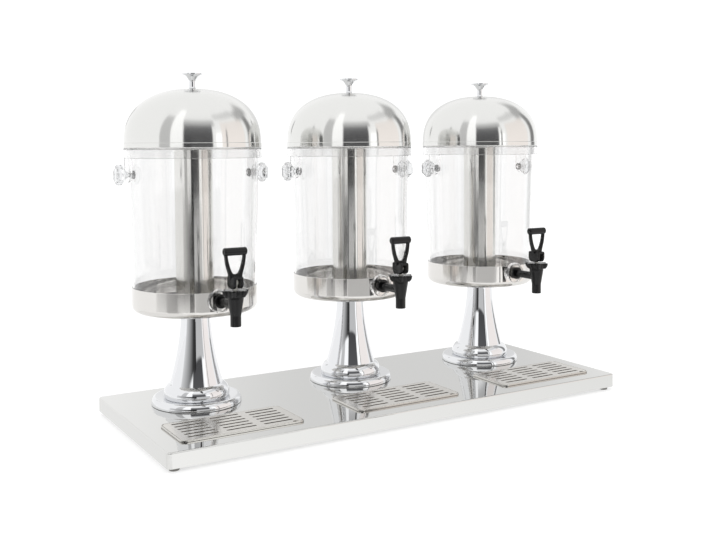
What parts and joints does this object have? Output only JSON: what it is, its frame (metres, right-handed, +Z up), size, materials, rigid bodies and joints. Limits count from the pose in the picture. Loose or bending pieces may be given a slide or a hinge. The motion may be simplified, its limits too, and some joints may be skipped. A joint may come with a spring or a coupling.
{
  "type": "drink dispenser",
  "caption": "Drink dispenser: clear tanks in a row on trumpet pedestals over one steel base, with domed lids, ice tubes, pull-lever taps and slotted drip pans.",
  "frame": {"origin": "middle of the base, on the surface that the feet stand on", "axes": "+X along the row of tanks to the right, -Y to the front, where the taps are, +Z up"},
  "size_m": [0.88, 0.356, 0.5881],
  "materials": {
    "base_steel": "bright, finely brushed",
    "grille_steel": "bright, finely brushed",
    "polished_steel": "polished",
    "bolt_steel": "turned",
    "chrome": "mirror",
    "clear_plastic": "clear, glossy",
    "black_plastic": "glossy black",
    "seal_plastic": "soft off-white",
    "foot_rubber": "matte grey"
  },
  "bodies": {
    "stand": {"base_tray": "base_steel", "foot_front_left": "foot_rubber", "foot_front_right": "foot_rubber", "foot_back_left": "foot_rubber", "foot_back_right": "foot_rubber", "pedestal_left": "chrome", "clamp_bolt_left": "bolt_steel", "tank_pan_left": "polished_steel", "tank_left": "clear_plastic", "collar_left": "clear_plastic", "tap_body_left": "black_plastic", "tap_washer_left": "clear_plastic", "tap_nut_left": "black_plastic", "tap_bonnet_left": "black_plastic", "pedestal_middle": "chrome", "clamp_bolt_middle": "bolt_steel", "tank_pan_middle": "polished_steel", "tank_middle": "clear_plastic", "collar_middle": "clear_plastic", "tap_body_middle": "black_plastic", "tap_washer_middle": "clear_plastic", "tap_nut_middle": "black_plastic", "tap_bonnet_middle": "black_plastic", "pedestal_right": "chrome", "clamp_bolt_right": "bolt_steel", "tank_pan_right": "polished_steel", "tank_right": "clear_plastic", "collar_right": "clear_plastic", "tap_body_right": "black_plastic", "tap_washer_right": "clear_plastic", "tap_nut_right": "black_plastic", "tap_bonnet_right": "black_plastic"},
    "left lid": {"lid_left": "chrome", "lid_knob_left": "chrome"},
    "left ice tube": {"ice_tube_left": "polished_steel"},
    "left tank's left knob": {"side_knob_left_left": "clear_plastic"},
    "left tank's right knob": {"side_knob_right_left": "clear_plastic"},
    "left tap stem": {"tap_stem_left": "seal_plastic"},
    "left tap lever": {"tap_lever_left": "black_plastic"},
    "left drip pan": {"drip_pan_left": "polished_steel"},
    "left drip grille": {"drip_grille_left": "grille_steel"},
    "middle lid": {"lid_middle": "chrome", "lid_knob_middle": "chrome"},
    "middle ice tube": {"ice_tube_middle": "polished_steel"},
    "middle tank's left knob": {"side_knob_left_middle": "clear_plastic"},
    "middle tank's right knob": {"side_knob_right_middle": "clear_plastic"},
    "middle tap stem": {"tap_stem_middle": "seal_plastic"},
    "middle tap lever": {"tap_lever_middle": "black_plastic"},
    "middle drip pan": {"drip_pan_middle": "polished_steel"},
    "middle drip grille": {"drip_grille_middle": "grille_steel"},
    "right lid": {"lid_right": "chrome", "lid_knob_right": "chrome"},
    "right ice tube": {"ice_tube_right": "polished_steel"},
    "right tank's left knob": {"side_knob_left_right": "clear_plastic"},
    "right tank's right knob": {"side_knob_right_right": "clear_plastic"},
    "right tap stem": {"tap_stem_right": "seal_plastic"},
    "right tap lever": {"tap_lever_right": "black_plastic"},
    "right drip pan": {"drip_pan_right": "polished_steel"},
    "right drip grille": {"drip_grille_right": "grille_steel"}
  },
  "joints": [
    {"name": "lid_lift_left", "type": "slide", "parent": "stand", "child": "left lid", "axis": [0, 0, 1], "range_m": [0, 0.15]},
    {"name": "ice_tube_lift_left", "type": "slide", "parent": "stand", "child": "left ice tube", "axis": [0, 0, 1], "range_m": [0, 0.08]},
    {"name": "left_knob_turn_left", "type": "hinge", "parent": "stand", "child": "left tank's left knob", "pos_m": [-0.4249, 0.06, 0.419], "axis": [-1, 0, 0], "range_deg": [0, 360]},
    {"name": "right_knob_turn_left", "type": "hinge", "parent": "stand", "child": "left tank's right knob", "pos_m": [-0.1831, 0.06, 0.419], "axis": [1, 0, 0], "range_deg": [0, 360]},
    {"name": "tap_stem_lift_left", "type": "slide", "parent": "stand", "child": "left tap stem", "axis": [0, 0, 1], "range_m": [0, 0.00475]},
    {"name": "tap_lever_pull_left", "type": "hinge", "parent": "left tap stem", "child": "left tap lever", "pos_m": [-0.304, -0.111, 0.2557], "axis": [1, 0, 0], "range_deg": [0, 45], "stiffness_Nm_per_rad": 0.3},
    {"name": "drip_pan_lift_left", "type": "slide", "parent": "stand", "child": "left drip pan", "axis": [0, 0, 1], "range_m": [0, 0.05]},
    {"name": "drip_grille_lift_left", "type": "slide", "parent": "left drip pan", "child": "left drip grille", "axis": [0, 0, 1], "range_m": [0, 0.03]},
    {"name": "lid_lift_middle", "type": "slide", "parent": "stand", "child": "middle lid", "axis": [0, 0, 1], "range_m": [0, 0.15]},
    {"name": "ice_tube_lift_middle", "type": "slide", "parent": "stand", "child": "middle ice tube", "axis": [0, 0, 1], "range_m": [0, 0.08]},
    {"name": "left_knob_turn_middle", "type": "hinge", "parent": "stand", "child": "middle tank's left knob", "pos_m": [-0.1209, 0.06, 0.419], "axis": [-1, 0, 0], "range_deg": [0, 360]},
    {"name": "right_knob_turn_middle", "type": "hinge", "parent": "stand", "child": "middle tank's right knob", "pos_m": [0.1209, 0.06, 0.419], "axis": [1, 0, 0], "range_deg": [0, 360]},
    {"name": "tap_stem_lift_middle", "type": "slide", "parent": "stand", "child": "middle tap stem", "axis": [0, 0, 1], "range_m": [0, 0.00475]},
    {"name": "tap_lever_pull_middle", "type": "hinge", "parent": "middle tap stem", "child": "middle tap lever", "pos_m": [0, -0.111, 0.2557], "axis": [1, 0, 0], "range_deg": [0, 45], "stiffness_Nm_per_rad": 0.3},
    {"name": "drip_pan_lift_middle", "type": "slide", "parent": "stand", "child": "middle drip pan", "axis": [0, 0, 1], "range_m": [0, 0.05]},
    {"name": "drip_grille_lift_middle", "type": "slide", "parent": "middle drip pan", "child": "middle drip grille", "axis": [0, 0, 1], "range_m": [0, 0.03]},
    {"name": "lid_lift_right", "type": "slide", "parent": "stand", "child": "right lid", "axis": [0, 0, 1], "range_m": [0, 0.15]},
    {"name": "ice_tube_lift_right", "type": "slide", "parent": "stand", "child": "right ice tube", "axis": [0, 0, 1], "range_m": [0, 0.08]},
    {"name": "left_knob_turn_right", "type": "hinge", "parent": "stand", "child": "right tank's left knob", "pos_m": [0.1831, 0.06, 0.419], "axis": [-1, 0, 0], "range_deg": [0, 360]},
    {"name": "right_knob_turn_right", "type": "hinge", "parent": "stand", "child": "right tank's right knob", "pos_m": [0.4249, 0.06, 0.419], "axis": [1, 0, 0], "range_deg": [0, 360]},
    {"name": "tap_stem_lift_right", "type": "slide", "parent": "stand", "child": "right tap stem", "axis": [0, 0, 1], "range_m": [0, 0.00475]},
    {"name": "tap_lever_pull_right", "type": "hinge", "parent": "right tap stem", "child": "right tap lever", "pos_m": [0.304, -0.111, 0.2557], "axis": [1, 0, 0], "range_deg": [0, 45], "stiffness_Nm_per_rad": 0.3},
    {"name": "drip_pan_lift_right", "type": "slide", "parent": "stand", "child": "right drip pan", "axis": [0, 0, 1], "range_m": [0, 0.05]},
    {"name": "drip_grille_lift_right", "type": "slide", "parent": "right drip pan", "child": "right drip grille", "axis": [0, 0, 1], "range_m": [0, 0.03]}
  ],
  "couplings": [
    {"joint": "tap_stem_lift_left", "follows": "tap_lever_pull_left", "m_per_rad": 0.006},
    {"joint": "tap_stem_lift_middle", "follows": "tap_lever_pull_middle", "m_per_rad": 0.006},
    {"joint": "tap_stem_lift_right", "follows": "tap_lever_pull_right", "m_per_rad": 0.006}
  ]
}
